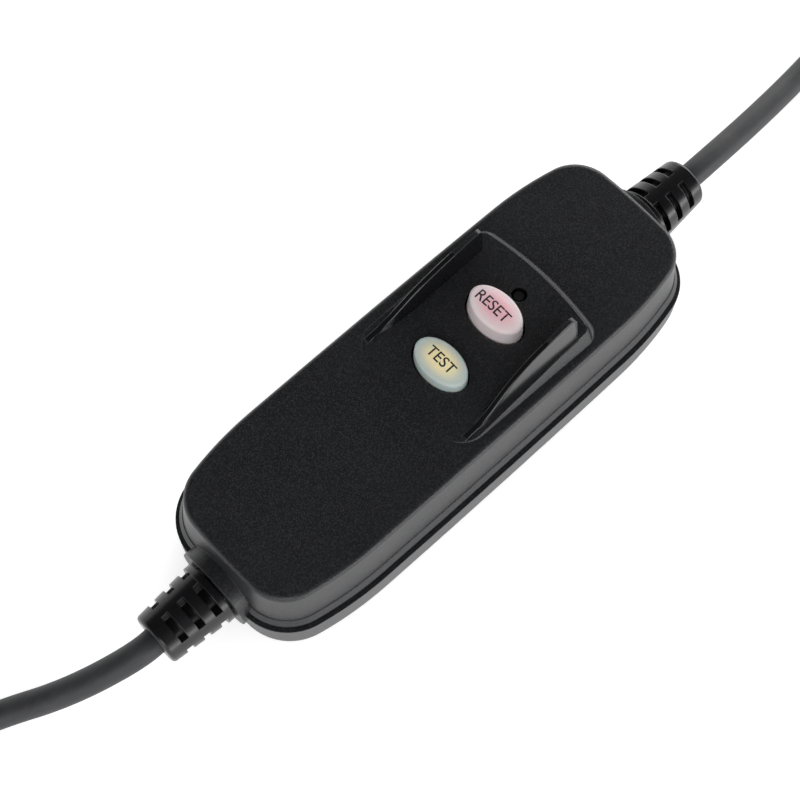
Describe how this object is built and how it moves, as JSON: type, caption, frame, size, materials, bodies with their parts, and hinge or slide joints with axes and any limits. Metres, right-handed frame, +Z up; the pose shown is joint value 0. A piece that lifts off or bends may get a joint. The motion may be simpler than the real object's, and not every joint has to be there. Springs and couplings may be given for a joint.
{
  "type": "rcd adapter plug",
  "caption": "In-line residual current adapter: flat two-part case with guarded TEST and RESET buttons on a short rubber lead with plug and coupler.",
  "frame": {"origin": "middle of the case's footprint, on the surface that it stands on", "axes": "+X along the case from the load side to the supply side with the RESET button, +Z up through the buttons, +Y to the left seen from above looking along +X"},
  "size_m": [0.695, 0.0582, 0.0512],
  "materials": {
    "case_plastic": "fine texture",
    "relief_rubber": "smooth",
    "lead_rubber": "matt",
    "cap_silicone": "soft translucent silicone",
    "reset_red": "moulded",
    "test_yellow": "moulded",
    "lens_dark": "smoked",
    "plug_rubber": "moulded",
    "pin_brass": "plain",
    "steel": "plain",
    "inner_plastic": "moulded",
    "board": "laminate",
    "winding_copper": "enamelled",
    "core_iron": "ferrite"
  },
  "bodies": {
    "case": {"base_cover": "case_plastic", "top_cover": "case_plastic", "supply_relief": "relief_rubber", "load_relief": "relief_rubber", "plug_relief": "relief_rubber", "coupler_relief": "relief_rubber", "supply_cord": "lead_rubber", "load_cord": "lead_rubber", "indicator_lens": "lens_dark", "plug_body": "plug_rubber", "coupler_body": "plug_rubber", "plug_pins": "pin_brass", "coupler_sockets": "pin_brass", "plug_earth_contacts": "pin_brass", "coupler_earth_contacts": "pin_brass", "supply_terminals": "pin_brass", "load_terminals": "pin_brass", "fixed_contacts": "pin_brass", "test_contact": "pin_brass", "case_screws": "steel", "supply_terminal_screws": "steel", "load_terminal_screws": "steel", "supply_clamp_screws": "steel", "load_clamp_screws": "steel", "reset_spring": "steel", "test_spring": "steel", "solenoid_frame": "steel", "button_guide": "inner_plastic", "supply_cord_clamp": "inner_plastic", "load_cord_clamp": "inner_plastic", "capacitor": "inner_plastic", "varistor": "inner_plastic", "trip_circuit": "inner_plastic", "test_resistor": "inner_plastic", "circuit_board": "board", "sensing_winding": "winding_copper", "solenoid_winding": "winding_copper", "through_wires": "winding_copper", "supply_cores": "winding_copper", "load_cores": "winding_copper", "earth_core": "winding_copper", "sensing_core": "core_iron"},
    "reset": {"reset_cap": "cap_silicone", "reset_button": "reset_red", "contact_carriage": "inner_plastic", "moving_contacts": "pin_brass"},
    "test": {"test_cap": "cap_silicone", "test_button": "test_yellow"},
    "plunger": {"solenoid_plunger": "steel"}
  },
  "joints": [
    {"name": "reset_press", "type": "slide", "parent": "case", "child": "reset", "axis": [0, 0, -1], "range_m": [0, 0.003], "stiffness_N_per_m": 900, "springref_m": -0.001, "deforming": ["reset_spring"]},
    {"name": "test_press", "type": "slide", "parent": "case", "child": "test", "axis": [0, 0, -1], "range_m": [0, 0.0016], "stiffness_N_per_m": 900, "springref_m": -0.001, "deforming": ["test_spring"]},
    {"name": "plunger_slide", "type": "slide", "parent": "case", "child": "plunger", "axis": [1, 0, 0], "range_m": [0, 0.0018], "stiffness_N_per_m": 400}
  ]
}
